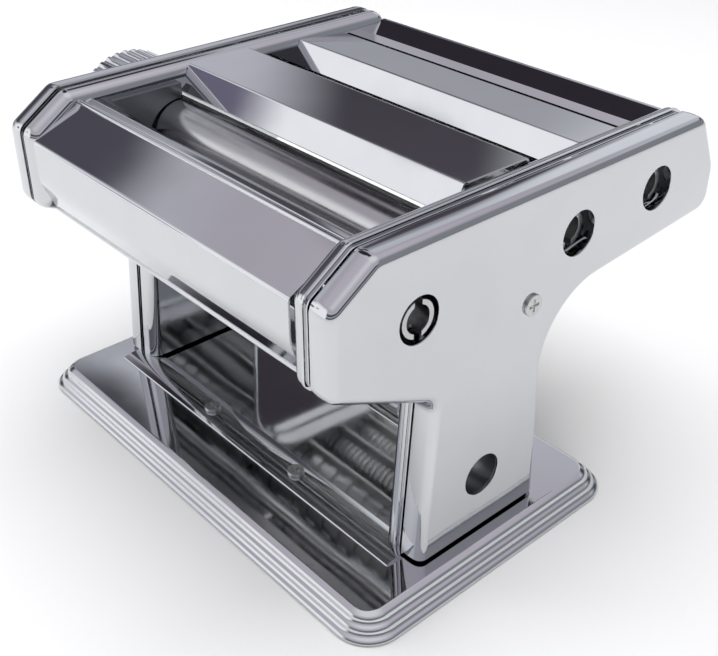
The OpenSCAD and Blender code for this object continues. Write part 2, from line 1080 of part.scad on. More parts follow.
module index_plate()
{
    color(steel)
    placed()
    mirror([1, 0, 0])
    difference()
    {
        bar(knob_axis, cover_out, index_sheet, index_r);
        bar(knob_axis, cover_out - over, index_sheet + 2 * over, axle_r + clear);
        for (i = [0 : settings - 1])
            let (t = 90 + setting_step * (i - (settings - 1) / 2))
            bar(
                knob_axis + index_pitch_r * [cos(t), sin(t)],
                cover_out - over, index_sheet + 2 * over, index_hole_r
            );
        for (p = index_screw_spots)
            bar(p, cover_out - over, index_sheet + 2 * over, tie_screw_r + seat);
    }
}

index_head_h = 1;
index_shank = 4;

module index_plate_screws()
{
    color(steel)
    placed()
    mirror([1, 0, 0])
    for (p = index_screw_spots)
        translate([cover_out + index_sheet, p[0], p[1]])
            rotate([0, 90, 0])
            screw_down(screw_head_r - tie_screw_r / 2, index_head_h, tie_screw_r, index_shank);
}

knob_edge_r = 2;
knob_under_r = 17;
knob_under_depth = 1.8;
knob_cup_r = 14;
knob_hub_len = 6.8;
flute_r = 1.5;
flutes = 40;
pin_tip_gap = 0.3;
index_pin_r = 1.5;
index_pin_seat = 4;

module thickness_knob()
{
    color(chrome)
    placed()
    mirror([1, 0, 0])
    difference()
    {
        translate([knob_start, knob_axis[0], knob_axis[1]])
            rotate([0, 90, 0])
            rotate_extrude($fn = round_fn)
            difference()
            {
                union()
                {
                    square([knob_d / 2 - knob_edge_r, knob_len]);
                    translate([0, knob_edge_r])
                        square([knob_d / 2, knob_len - 2 * knob_edge_r]);
                    for (h = [knob_edge_r, knob_len - knob_edge_r])
                        translate([knob_d / 2 - knob_edge_r, h])
                            circle(r = knob_edge_r, $fn = round_fn);
                }
                translate([-over, knob_hub_len])
                    square([knob_cup_r + over, knob_len]);
                translate([-over, -knob_len + knob_under_depth])
                    square([knob_under_r + over, knob_len]);
            }
        bar(knob_axis, knob_start - over, knob_len + 2 * over, stem_r + running);
        bar(knob_axis + [0, index_pitch_r], knob_start - over, index_pin_seat + over, index_pin_r + seat);
        for (i = [0 : flutes - 1])
            bar(
                knob_axis + knob_d / 2 * [cos(360 * (i + 0.5) / flutes), sin(360 * (i + 0.5) / flutes)],
                knob_start - over, knob_len + 2 * over, flute_r
            );
    }
}

module index_pin()
{
    color(steel)
    placed()
    mirror([1, 0, 0])
    bar(
        knob_axis + [0, index_pitch_r],
        cover_out + index_sheet + pin_tip_gap,
        knob_start + index_pin_seat - cover_out - index_sheet - pin_tip_gap, index_pin_r
    );
}

axle_shoulder = cover_out - 1.5;
neck_len = 14.6;
neck_end = half_gap - clear + neck_len;
float_len = 12;
gear_start = frame_face + 3.6;
roller_gear_w = 9;
cutter_gear_w = 8;
knob_screw_bore = 12;
spring_wire = 1;
spring_turns = 3;
washer_sheet = 1.2;
washer_r = 11;
washer_x = knob_start + knob_hub_len + knob_pull + spring_turns * spring_wire + clear + spring_wire;

module eccentric_axle()
{
    color(steel)
    placed()
    difference()
    {
        union()
        {
            bar(knob_axis, -axle_shoulder, axle_shoulder - half_gap, axle_r);
            bar(knob_axis, -washer_x, washer_x - axle_shoulder, stem_r);
            bar(adjust_axis, -half_gap, half_gap + neck_end + clear, stem_r);
            bar(knob_axis, neck_end, bridge_x + bridge_sheet - neck_end, pin_r);
        }
        bar(knob_axis, -washer_x - over, knob_screw_bore + over, screw_r + seat);
    }
}

module knob_washer()
{
    color(steel)
    placed()
    mirror([1, 0, 0])
    ring(knob_axis, washer_x, washer_sheet, washer_r, screw_r + seat);
}

module knob_screw()
{
    color(steel)
    placed()
    mirror([1, 0, 0])
    translate([washer_x + washer_sheet, knob_axis[0], knob_axis[1]])
        rotate([0, 90, 0])
        screw_down(cover_head_r, screw_head_h, screw_r, knob_screw_bore);
}

spring_r = 8.2;
spring_steps = 24;

// Spring fully pressed, as it is when the knob is pulled out
module knob_spring()
{
    color(steel)
    placed()
    mirror([1, 0, 0])
    translate([washer_x - spring_wire * spring_turns - spring_wire, knob_axis[0], knob_axis[1]])
        rotate([0, 90, 0])
        coil(spring_r, spring_wire / 2, spring_wire * spring_turns, spring_turns);
}

coil_sides = 8;
coil_room_share = 0.96;

// Wound wire: r is the middle radius, wire the wire's radius
module coil(r, wire, rise, turns)
{
    last = turns * spring_steps;
    points = [
        for (i = [0 : last])
            let (t = 360 * i / spring_steps, h = wire + rise * i / last)
            for (k = [0 : coil_sides - 1])
                let (
                    q = 360 * (k + 0.5) / coil_sides,
                    out = r + wire * coil_room_share * cos(q)
                )
                [out * cos(t), out * sin(t), h + wire * coil_room_share * sin(q)]
    ];
    sides = [
        for (i = [0 : last - 1])
            for (k = [0 : coil_sides - 1])
                let (
                    a = i * coil_sides + k,
                    b = i * coil_sides + (k + 1) % coil_sides
                )
                each [[a, b, b + coil_sides], [a, b + coil_sides, a + coil_sides]]
    ];
    ends = [
        [for (k = [coil_sides - 1 : -1 : 0]) k],
        [for (k = [0 : coil_sides - 1]) last * coil_sides + k]
    ];
    polyhedron(points = points, faces = concat(sides, ends), convexity = 8);
}

// Smooth rollers and their gears

roller_end = half_gap - clear;
journal_len = 6.5;
float_bore_r = 9;
roller_wall = 3.1;
relief_start = 66;
notch_w = 3.5;
notch_depth = 5;
drive_hub_end = cover_out - 0.7;
cutter_hub_end = cover_out - 4.5;

// Notched tube end that takes the crank
module socket(axis, end)
{
    bar(axis, end - socket_depth, socket_depth + over, socket_d / 2);
    translate([end, axis[0], axis[1]])
        cube([2 * notch_depth, notch_w, hub_d + over], center = true);
}

module drive_roller()
{
    color(chrome)
    placed()
    difference()
    {
        union()
        {
            bar(drive_axis, -roller_end, 2 * roller_end, roller_r);
            bar(drive_axis, -roller_end - journal_len, drive_hub_end + roller_end + journal_len, hub_d / 2);
        }
        socket(drive_axis, drive_hub_end);
    }
}

module adjustable_roller()
{
    color(chrome)
    placed()
    difference()
    {
        union()
        {
            bar(adjust_axis, -roller_end, 2 * roller_end, roller_r);
            bar(adjust_axis, roller_end - over, neck_len + over, neck_r);
        }
        bar(adjust_axis, -roller_end - over, roller_end + neck_end + 2 * over, float_bore_r);
        bar(adjust_axis, -relief_start, 2 * relief_start, roller_r - roller_wall);
    }
}

module float_bushes()
{
    color(bronze)
    placed()
    {
        ring(adjust_axis, -roller_end, float_len, float_bore_r - running, stem_r + running);
        ring(adjust_axis, neck_end - clear - float_len, float_len, float_bore_r - running, stem_r + running);
    }
}

// Involute gears: half the angle of a tooth at the radius rad
pressure = 20;
gear_root_gap = 0.25;
flank_steps = 5;

function involute(a) = tan(a) * 180 / PI - a;

function tooth_half(teeth, pitch_r, back, rad) =
    let (
        base_r = pitch_r * cos(pressure),
        at_pitch = 90 / teeth - back * 90 / (2 * PI * pitch_r)
    )
    at_pitch + involute(pressure) - (rad > base_r ? involute(acos(base_r / rad)) : 0);

function gear_line(teeth, pitch_r, tip_r, back, first) =
    let (
        root_r = 2 * pitch_r - tip_r - gear_root_gap,
        low = max(pitch_r * cos(pressure), root_r),
        flank = concat([root_r], [for (i = [0 : flank_steps]) low + (tip_r - low) * i / flank_steps])
    )
    [
        for (k = [0 : teeth - 1])
            let (t = first + 360 * k / teeth)
            each concat(
                [for (rad = flank)
                    let (q = t - tooth_half(teeth, pitch_r, back, rad)) rad * [cos(q), sin(q)]],
                [for (i = [len(flank) - 1 : -1 : 0])
                    let (rad = flank[i], q = t + tooth_half(teeth, pitch_r, back, rad)) rad * [cos(q), sin(q)]]
            )
    ];

module gear(axis, width, line, bore)
{
    difference()
    {
        translate([gear_start, axis[0], axis[1]])
            rotate([90, 0, 90])
            linear_extrude(width)
            polygon(line);
        bar(axis, gear_start - over, width + 2 * over, bore);
    }
}

roller_play = 0.9;
cutter_play = 0.25;
half_tooth = 0.5;

module drive_gear()
{
    color(dark_steel)
    placed()
    gear(
        drive_axis, roller_gear_w,
        gear_line(roller_teeth, closest_pitch / 2, roller_gear_tip, roller_play, 0),
        hub_d / 2 + seat
    );
}

module adjustable_gear()
{
    color(dark_steel)
    placed()
    gear(
        adjust_axis, roller_gear_w,
        gear_line(
            roller_teeth, closest_pitch / 2, roller_gear_tip, roller_play,
            180 + half_tooth * 360 / roller_teeth
        ),
        neck_r + seat
    );
}

// Cutters: ribbed rollers whose rings run in each other's grooves

module cutter_body(axis, strip, mate)
{
    half = strip / 2 - ring_side;
    translate([0, axis[0], axis[1]])
        rotate([0, 90, 0])
        rotate_extrude($fn = round_fn)
        polygon([
            [0, -roller_end],
            [core_r, -roller_end],
            for (x = ring_spots(strip, mate))
                each [[core_r, x - half], [cutter_r, x - half], [cutter_r, x + half], [core_r, x + half]],
            [core_r, roller_end],
            [0, roller_end]
        ]);
}

module drive_cutter(axis, strip)
{
    color(steel)
    placed()
    difference()
    {
        union()
        {
            cutter_body(axis, strip, false);
            bar(axis, -roller_end - journal_len, cutter_hub_end + roller_end + journal_len, hub_d / 2);
        }
        socket(axis, cutter_hub_end);
    }
}

module mate_cutter(axis, strip)
{
    end = gear_start + cutter_gear_w + clear;
    color(steel)
    placed()
    {
        cutter_body(axis, strip, true);
        bar(axis, -roller_end - journal_len, end + roller_end + journal_len, mate_journal_r);
    }
}

module cutter_gear(axis, bore, first)
{
    color(dark_steel)
    placed()
    gear(
        axis, cutter_gear_w,
        gear_line(cutter_teeth, cutter_pitch / 2, cutter_gear_tip, cutter_play, first),
        bore
    );
}

mate_turn = 180 + half_tooth * 360 / cutter_teeth;

module wide_drive_cutter() drive_cutter(wide_axis, wide_strip);

module wide_driven_cutter() mate_cutter(wide_mate, wide_strip);

module wide_drive_gear() cutter_gear(wide_axis, hub_d / 2 + seat, 0);

module wide_driven_gear() cutter_gear(wide_mate, mate_journal_r + seat, mate_turn);

module narrow_drive_cutter() drive_cutter(narrow_axis, narrow_strip);

module narrow_driven_cutter() mate_cutter(narrow_mate, narrow_strip);

module narrow_drive_gear() cutter_gear(narrow_axis, hub_d / 2 + seat, 0);

module narrow_driven_gear() cutter_gear(narrow_mate, mate_journal_r + seat, mate_turn);

base_plate();
rubber_feet();
front_cross_strap();
rear_cross_strap();
strap_screws();
strap_nuts();
foot_screws();
left_frame();
right_frame();
left_cover();
right_cover();
cover_standoffs();
cover_screws();
front_cover();
front_feed_plate();
middle_guide();
rear_guide();
back_cover();
tie_rods();
tie_rod_screws();
left_dough_guard();
right_dough_guard();
front_scraper();
rear_scraper();
wide_combs();
narrow_combs();
clamp_tube();
drive_bushes();
cutter_bushes();
axle_sleeve();
axle_bridge();
bridge_screws();
index_plate();
index_plate_screws();
drive_roller();
drive_gear();
adjustable_roller();
adjustable_gear();
float_bushes();
eccentric_axle();
knob_washer();
knob_screw();
knob_spring();
thickness_knob();
index_pin();
wide_drive_cutter();
wide_drive_gear();
wide_driven_cutter();
wide_driven_gear();
narrow_drive_cutter();
narrow_drive_gear();
narrow_driven_cutter();
narrow_driven_gear();
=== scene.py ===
import math

import bmesh
import bpy
import numpy as np
from mathutils import Matrix, Vector
from mathutils.geometry import tessellate_polygon


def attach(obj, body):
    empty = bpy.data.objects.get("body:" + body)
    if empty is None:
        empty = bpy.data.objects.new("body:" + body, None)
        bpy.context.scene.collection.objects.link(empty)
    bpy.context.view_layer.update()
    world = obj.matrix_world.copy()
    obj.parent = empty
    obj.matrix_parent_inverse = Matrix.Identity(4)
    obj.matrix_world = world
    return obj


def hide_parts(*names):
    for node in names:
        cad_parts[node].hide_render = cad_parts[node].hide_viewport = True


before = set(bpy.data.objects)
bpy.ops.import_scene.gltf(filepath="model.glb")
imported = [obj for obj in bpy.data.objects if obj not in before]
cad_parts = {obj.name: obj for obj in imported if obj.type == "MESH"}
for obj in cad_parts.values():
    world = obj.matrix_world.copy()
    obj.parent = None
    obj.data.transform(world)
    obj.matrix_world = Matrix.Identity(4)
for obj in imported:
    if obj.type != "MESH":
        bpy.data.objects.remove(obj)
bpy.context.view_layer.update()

# Camera
# It stands where the photograph was taken from, at the front right and above.
# Place and lens were solved from the machine's straight edges and round holes.
# BASE_MIDDLE is where the middle of the base's underside lies in the part's frame.
MM = 0.001
BASE_MIDDLE = Vector((3.45, -28.655, 0)) * MM
PHOTO_W = 718
FOCAL_PX = 1079.3
SENSOR_MM = 36
CAMERA_SPOT = Vector((307.96, -245.76, 304.94)) * MM + BASE_MIDDLE
CAMERA_TURN = math.radians(48.22)
CAMERA_PITCH = math.radians(32.46)
CAMERA_ROLL = math.radians(0.13)
CLIP_NEAR, CLIP_FAR = 0.01, 20

camera_data = bpy.data.cameras.new("photo_camera")
camera_data.sensor_fit = "HORIZONTAL"
camera_data.sensor_width = SENSOR_MM
camera_data.lens = SENSOR_MM * FOCAL_PX / PHOTO_W
camera_data.clip_start, camera_data.clip_end = CLIP_NEAR, CLIP_FAR
camera = bpy.data.objects.new("photo_camera", camera_data)
view_line = Vector((
    -math.sin(CAMERA_TURN) * math.cos(CAMERA_PITCH),
    math.cos(CAMERA_TURN) * math.cos(CAMERA_PITCH),
    -math.sin(CAMERA_PITCH),
))
camera.location = CAMERA_SPOT
camera.rotation_mode = "QUATERNION"
camera.rotation_quaternion = (
    view_line.to_track_quat("-Z", "Y") @ Matrix.Rotation(CAMERA_ROLL, 4, "Z").to_quaternion()
)
scene = bpy.context.scene
scene.collection.objects.link(camera)
scene.camera = camera

# Room
# Chrome shows the room: a pale floor, a dark band at eye level, a purple-grey wall above
# it, a pale ceiling, a few windows and a dark beam and corner. The camera sees plain white
# instead, and matt surfaces are lit by the same white, dimmed to SKY_LIGHT.
# A height is the Z of a line of sight, with the colour there. A patch covers the lines of
# sight near its own: the cosine of the angle between them runs from its edge to its core.
SKY_LIGHT = 0.5
ROOM_HEIGHTS = [
    (0.000, (0.80, 0.81, 0.84)), (0.012, (0.03, 0.03, 0.035)), (0.090, (0.03, 0.03, 0.035)),
    (0.150, (0.42, 0.43, 0.47)), (0.240, (0.46, 0.46, 0.50)), (0.310, (0.07, 0.065, 0.08)),
    (0.410, (0.09, 0.08, 0.10)), (0.500, (0.40, 0.40, 0.44)), (0.570, (0.68, 0.70, 0.75)),
    (0.680, (0.56, 0.53, 0.59)), (0.800, (0.66, 0.62, 0.69)), (1.000, (0.95, 0.95, 0.98)),
]
ROOM_PATCHES = [
    ("front left window", (-0.63, -0.75, 0.16), 0.80, 0.93, (1.25, 1.25, 1.28)),
    ("right wall", (0.70, 0.66, 0.26), 0.80, 0.95, (0.30, 0.31, 0.34)),
    ("left window", (-0.84, 0.45, 0.30), 0.975, 0.994, (0.62, 0.62, 0.68)),
    ("back window", (-0.36, 0.85, 0.40), 0.955, 0.985, (0.90, 0.93, 0.97)),
    ("dark beam", (-0.61, 0.14, 0.78), 0.975, 0.990, (0.035, 0.03, 0.04)),
    ("dark door", (-0.66, 0.46, 0.60), 0.9950, 0.9980, (0.05, 0.045, 0.055)),
    ("dark curtain", (-0.73, 0.31, 0.61), 0.9955, 0.9980, (0.09, 0.085, 0.10)),
    ("window post", (-0.65, -0.68, 0.33), 0.9978, 0.9996, (0.30, 0.29, 0.38)),
    ("window edge", (-0.80, -0.57, 0.21), 0.9955, 0.9990, (0.20, 0.18, 0.26)),
    ("dark corner", (-0.85, -0.05, 0.52), 0.990, 0.998, (0.10, 0.095, 0.12)),
]

scene.view_settings.view_transform = "Standard"
world = bpy.data.worlds.new("room")
scene.world = world
world.use_nodes = True
room = world.node_tree
room.nodes.clear()


def backdrop(strength):
    """A background node, white until something is linked to its colour."""
    node = room.nodes.new("ShaderNodeBackground")
    node.inputs["Color"].default_value = (1, 1, 1, 1)
    node.inputs["Strength"].default_value = strength
    return node


def choice(factor, usual, other):
    """A shader that is the usual one where the factor is 0 and the other where it is 1."""
    node = room.nodes.new("ShaderNodeMixShader")
    for socket, source in zip(node.inputs, (factor, usual, other)):
        room.links.new(source, socket)
    return node.outputs[0]


sight = room.nodes.new("ShaderNodeTexCoord").outputs["Generated"]
height = room.nodes.new("ShaderNodeSeparateXYZ")
ramp = room.nodes.new("ShaderNodeValToRGB")
ramp.color_ramp.interpolation = "EASE"
stops = ramp.color_ramp.elements
stops.remove(stops[1])
for stop_number, (stop_height, stop_colour) in enumerate(ROOM_HEIGHTS):
    stop = stops.new(stop_height) if stop_number else stops[0]
    stop.position, stop.color = stop_height, (*stop_colour, 1)
room.links.new(sight, height.inputs[0])
room.links.new(height.outputs["Z"], ramp.inputs["Fac"])
room_colour = ramp.outputs["Color"]
for patch_name, patch_line, patch_edge, patch_core, patch_colour in ROOM_PATCHES:
    facing = room.nodes.new("ShaderNodeVectorMath")
    facing.operation = "DOT_PRODUCT"
    facing.inputs[1].default_value = Vector(patch_line).normalized()
    room.links.new(sight, facing.inputs[0])
    reach = room.nodes.new("ShaderNodeMapRange")
    reach.interpolation_type = "SMOOTHSTEP"
    reach.inputs["From Min"].default_value = patch_edge
    reach.inputs["From Max"].default_value = patch_core
    room.links.new(facing.outputs["Value"], reach.inputs["Value"])
    patch = room.nodes.new("ShaderNodeMix")
    patch.label = patch_name
    patch.data_type = "RGBA"
    patch.inputs["B"].default_value = (*patch_colour, 1)
    room.links.new(reach.outputs["Result"], patch.inputs["Factor"])
    room.links.new(room_colour, patch.inputs["A"])
    room_colour = patch.outputs["Result"]
walls, daylight, white = backdrop(1), backdrop(SKY_LIGHT), backdrop(1)
room.links.new(room_colour, walls.inputs["Color"])
rays = room.nodes.new("ShaderNodeLightPath").outputs
clear_rays = room.nodes.new("ShaderNodeMath")
clear_rays.operation = "MAXIMUM"
room.links.new(rays["Is Camera Ray"], clear_rays.inputs[0])
room.links.new(rays["Is Transmission Ray"], clear_rays.inputs[1])
around = choice(rays["Is Glossy Ray"], daylight.outputs[0], walls.outputs[0])
seen_room = choice(clear_rays.outputs[0], around, white.outputs[0])
room.links.new(seen_room, room.nodes.new("ShaderNodeOutputWorld").inputs["Surface"])

# Lamps and floor
# Soft panels overhead and at both sides, which the chrome doesn't mirror, over a pale
# table top. Each lamp is given by its place, its size and its power in watts.
LAMPS = {
    "overhead_panel": ((0.0, 0.2, 1.5), 1.3, 17),
    "left_panel": ((-1.3, -0.7, 0.9), 1.0, 9),
    "right_panel": ((1.4, -0.9, 0.8), 1.0, 5),
}
FLOOR_SIZE, FLOOR_COLOUR = 3, (0.85, 0.85, 0.86)
FLOOR_ROUGHNESS, FLOOR_SHINE = 0.8, 0.2

for lamp_name, (lamp_spot, lamp_size, lamp_watts) in LAMPS.items():
    lamp_data = bpy.data.lights.new(lamp_name, "AREA")
    lamp_data.size = lamp_size
    lamp_data.energy = lamp_watts
    lamp = bpy.data.objects.new(lamp_name, lamp_data)
    lamp.location = lamp_spot
    lamp.rotation_mode = "QUATERNION"
    lamp.rotation_quaternion = (-Vector(lamp_spot)).to_track_quat("-Z", "Y")
    lamp.visible_glossy = False
    scene.collection.objects.link(lamp)

floor_mesh = bpy.data.meshes.new("floor")
half_floor = FLOOR_SIZE / 2
floor_mesh.from_pydata(
    [(x * half_floor, y * half_floor, 0) for x, y in ((-1, -1), (1, -1), (1, 1), (-1, 1))],
    [], [(0, 1, 2, 3)],
)
floor = bpy.data.objects.new("floor", floor_mesh)
scene.collection.objects.link(floor)
floor_finish = bpy.data.materials.new("pale_floor")
floor_finish.use_nodes = True
floor_shader = floor_finish.node_tree.nodes["Principled BSDF"]
floor_shader.inputs["Base Color"].default_value = (*FLOOR_COLOUR, 1)
floor_shader.inputs["Roughness"].default_value = FLOOR_ROUGHNESS
floor_shader.inputs["Specular IOR Level"].default_value = FLOOR_SHINE
floor_mesh.materials.append(floor_finish)

# Base plate
# A rectangle of 1 mm steel with its rim pressed into three steps, then chromed all over.
# The flat inside the rim is plain.
BASE_W, BASE_D, BASE_CORNER = 233 * MM, 143 * MM, 16 * MM
BASE_TOP, RIM_LOW = 9.5 * MM, 0.8 * MM
RIM_W, BASE_SHEET = 9 * MM, 1 * MM
RIM_STEPS, RIM_POINTS, RIM_SOFTNESS = 3, 61, 1.3
LEDGE_LEAN, RISER_LEAN = math.radians(22), math.radians(64)
CORNER_STEPS, HOLE_POINTS, LIP_STEPS = 14, 48, 4
WELD = 0.001 * MM
SHARP = math.radians(35)
CHROME_COLOUR = (0.63, 0.64, 0.66)
GRAIN_DETAIL, GRAIN_LOW, GRAIN_HIGH, GRAIN_TONE = 6, 0.3, 0.7, 0.93
SWELL_SCALE, SWELL_DETAIL, SWELL_DEPTH = 14, 1, 0.01


def corner_arc(before, corner, after, radius, steps):
    """An arc that rounds a corner and touches both of its sides: its centre is the corner +
    the unit bisector times radius / sin(half the angle). Returns its points and their unit
    normals to the path's right."""
    u, v = before - corner, after - corner
    u, v = u / np.linalg.norm(u), v / np.linalg.norm(v)
    side = 1 if u[1] * v[0] - u[0] * v[1] > 0 else -1
    angle = math.acos(u @ v)
    middle = corner + (u + v) / np.linalg.norm(u + v) * radius / math.sin(angle / 2)
    turn = math.atan2(u[0], -u[1]) + side * (math.pi - angle) * np.linspace(0, 1, steps + 1)
    normals = np.stack([np.cos(turn), np.sin(turn)], 1)
    return middle + side * radius * normals, normals


def rounded(corners):
    """Closed outline through corners (u, v, radius), listed counter-clockwise, each of them
    an arc. Returns the points and their outward normals."""
    spots = np.array([corner[:2] for corner in corners])
    following = np.roll(spots, -1, axis=0)
    arcs = [
        corner_arc(spots[k - 1], spots[k], following[k], corner[2], CORNER_STEPS)
        for k, corner in enumerate(corners)
    ]
    points, normals = zip(*arcs)
    return np.vstack(points), np.vstack(normals)


def circle(count):
    """Points of a unit circle, evenly spaced."""
    turn = np.linspace(0, 2 * np.pi, count, endpoint=False)
    return np.stack([np.cos(turn), np.sin(turn)], 1)


def belt(rows, columns):
    """Quads between rows of points that each run once around, numbered row by row."""
    row = np.arange(rows - 1)[:, None] * columns
    column = np.arange(columns)[None, :]
    after = (column + 1) % columns
    quads = [row + column, row + after, row + columns + after, row + columns + column]
    return np.stack([corner.ravel() for corner in quads], 1)


def pressed(outline, normals, rows, sheet, holes=(), lip=0.0):
    """A pressed sheet, with points (u, v, height). Row (s, h) runs s inside the outline at
    the height h, and the last row meets the flat. The underside is moved in and down by the
    sheet. Each hole (u, v, radius) goes through the flat, its mouth rounded by the lip."""
    under = [(s + sheet, h - (sheet if k else 0)) for k, (s, h) in enumerate(rows)]

    def level(loop, h):
        return np.column_stack([loop, np.full(len(loop), h)])

    parts = []
    for skin in (under, [under[0], rows[0]], rows):
        skin_points = np.vstack([level(outline - normals * s, h) for s, h in skin])
        parts.append((skin_points, [belt(len(skin), len(outline))]))
    mouth = circle(HOLE_POINTS)
    for (s, h), widen in ((rows[-1], lip), (under[-1], 0.0)):
        loops = [level(outline - normals * s, h)]
        loops += [level(mouth * (radius + widen) + (u, v), h) for u, v, radius in holes]
        triangles = tessellate_polygon([[Vector(point) for point in loop] for loop in loops])
        parts.append((np.vstack(loops), [triangles]))
    top, low = rows[-1][1], under[-1][1]
    turn = np.linspace(0, np.pi / 2, LIP_STEPS + 1)
    for u, v, radius in holes:
        steps = list(zip(radius + lip * (1 - np.sin(turn)), top - lip * (1 - np.cos(turn))))
        steps.append((radius, low))
        wall = np.vstack([level(mouth * r + (u, v), h) for r, h in steps])
        parts.append((wall, [belt(len(steps), HOLE_POINTS)]))
    return parts


def build(name, parts, cut_below=None):
    """One mesh of parts (points, groups of faces). They are joined and welded, what lies
    below the height cut_below is cut off, faces are turned outwards, and edges sharper than
    SHARP stay sharp."""
    mesh = bpy.data.meshes.new(name)
    faces, points, start = [], [], 0
    for part_points, part_faces in parts:
        for group in part_faces:
            faces += (np.asarray(group) + start).tolist()
        points.append(part_points)
        start += len(part_points)
    mesh.from_pydata(np.vstack(points).tolist(), [], faces)
    work = bmesh.new()
    work.from_mesh(mesh)
    bmesh.ops.remove_doubles(work, verts=work.verts, dist=WELD)
    if cut_below is not None:
        halves = bmesh.ops.bisect_plane(
            work, geom=work.verts[:] + work.edges[:] + work.faces[:],
            plane_co=(0, 0, cut_below), plane_no=(0, 0, 1), clear_inner=True,
        )
        rim = [e for e in halves["geom_cut"] if isinstance(e, bmesh.types.BMEdge)]
        bmesh.ops.edgenet_fill(work, edges=rim)
    bmesh.ops.recalc_face_normals(work, faces=work.faces)
    work.to_mesh(mesh)
    work.free()
    mesh.validate()
    mesh.shade_smooth()
    mesh.set_sharp_from_angle(angle=SHARP)
    piece = bpy.data.objects.new(name, mesh)
    scene.collection.objects.link(piece)
    return piece


def hold(piece, body, finish, node):
    """Gives a piece its finish and even normals and the body that it rides on, and hides the CAD
    node that it stands for."""
    piece.data.materials.clear()
    piece.data.materials.append(finish)
    even = piece.modifiers.new("even_normals", "WEIGHTED_NORMAL")
    even.keep_sharp = True
    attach(piece, body)
    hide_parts(node)


def metal(name, colour, roughness, streak=(1, 1, 1), streak_scale=60, wave=0.02, haze=0.05):
    """Plated or bare metal: a slow wave in the sheet bends its reflections a little, and fine
    grain along streak, from stretched noise, moves the roughness and the tone."""
    finish = bpy.data.materials.new(name)
    finish.use_nodes = True
    tree = finish.node_tree
    shader = tree.nodes["Principled BSDF"]
    shader.inputs["Metallic"].default_value = 1
    place = tree.nodes.new("ShaderNodeTexCoord")
    along = tree.nodes.new("ShaderNodeMapping")
    along.inputs["Scale"].default_value = streak
    grain = tree.nodes.new("ShaderNodeTexNoise")
    grain.inputs["Scale"].default_value = streak_scale
    grain.inputs["Detail"].default_value = GRAIN_DETAIL
    tree.links.new(place.outputs["Object"], along.inputs["Vector"])
    tree.links.new(along.outputs["Vector"], grain.inputs["Vector"])
    rough = tree.nodes.new("ShaderNodeMapRange")
    rough.inputs["From Min"].default_value = GRAIN_LOW
    rough.inputs["From Max"].default_value = GRAIN_HIGH
    rough.inputs["To Min"].default_value = roughness
    rough.inputs["To Max"].default_value = roughness + haze
    tree.links.new(grain.outputs["Fac"], rough.inputs["Value"])
    tree.links.new(rough.outputs["Result"], shader.inputs["Roughness"])
    tone = tree.nodes.new("ShaderNodeMix")
    tone.data_type = "RGBA"
    tone.inputs["A"].default_value = (*colour, 1)
    tone.inputs["B"].default_value = (*(c * GRAIN_TONE for c in colour), 1)
    tree.links.new(grain.outputs["Fac"], tone.inputs["Factor"])
    tree.links.new(tone.outputs["Result"], shader.inputs["Base Color"])
    swell = tree.nodes.new("ShaderNodeTexNoise")
    swell.inputs["Scale"].default_value = SWELL_SCALE
    swell.inputs["Detail"].default_value = SWELL_DETAIL
    tree.links.new(place.outputs["Object"], swell.inputs["Vector"])
    bump = tree.nodes.new("ShaderNodeBump")
    bump.inputs["Strength"].default_value = wave
    bump.inputs["Distance"].default_value = SWELL_DEPTH
    tree.links.new(swell.outputs["Fac"], bump.inputs["Height"])
    tree.links.new(bump.outputs["Normal"], shader.inputs["Normal"])
    return finish


def at_base(points):
    """Points measured from the base's middle, moved to the part's frame."""
    return points + np.array(BASE_MIDDLE)


chrome = metal("chrome_plate", CHROME_COLOUR, roughness=0.035, wave=0.035, haze=0.04)
base_outline, base_normals = rounded([
    (-BASE_W / 2, -BASE_D / 2, BASE_CORNER), (BASE_W / 2, -BASE_D / 2, BASE_CORNER),
    (BASE_W / 2, BASE_D / 2, BASE_CORNER), (-BASE_W / 2, BASE_D / 2, BASE_CORNER),
])

# Up the rim, its lean swings between riser and ledge in a cosine wave of three turns, and
# runs out into the flat over the last half turn. Sums along it give the rim's rows.
rim_turn = np.linspace(0, 1, RIM_POINTS)
rim_wave = (0.5 + 0.5 * np.cos(2 * np.pi * RIM_STEPS * rim_turn))**RIM_SOFTNESS
rim_lean = LEDGE_LEAN + (RISER_LEAN - LEDGE_LEAN) * rim_wave
run_out = rim_turn > 1 - 0.5 / RIM_STEPS
rim_lean[run_out] *= np.linspace(1, 0, np.sum(run_out))
rim_middle = (rim_lean[1:] + rim_lean[:-1]) / 2
rim_in = np.concatenate([[0], np.cumsum(np.cos(rim_middle))])
rim_up = np.concatenate([[0], np.cumsum(np.sin(rim_middle))])
rim_in = rim_in / rim_in[-1] * RIM_W
rim_up = RIM_LOW + rim_up / rim_up[-1] * (BASE_TOP - RIM_LOW)
base_skins = pressed(base_outline, base_normals, list(zip(rim_in, rim_up)), BASE_SHEET)
base_parts = [(at_base(points), groups) for points, groups in base_skins]
base_plate = build("pressed_base_plate", base_parts)
hold(base_plate, "housing", chrome, "base_plate")

# Feet
# Four round pads of black rubber under the corners of the base, each held by a steel
# screw from below. Small pieces keep their CAD shape, with broken edges.
EDGE_BREAK, FOOT_BREAK, BREAK_STEPS = 0.15 * MM, 0.5 * MM, 2
FLAT, CREASE = math.radians(0.3), math.radians(30)
RUBBER_COLOUR = (0.03, 0.03, 0.033)
STEEL_COLOUR = (0.60, 0.60, 0.60)


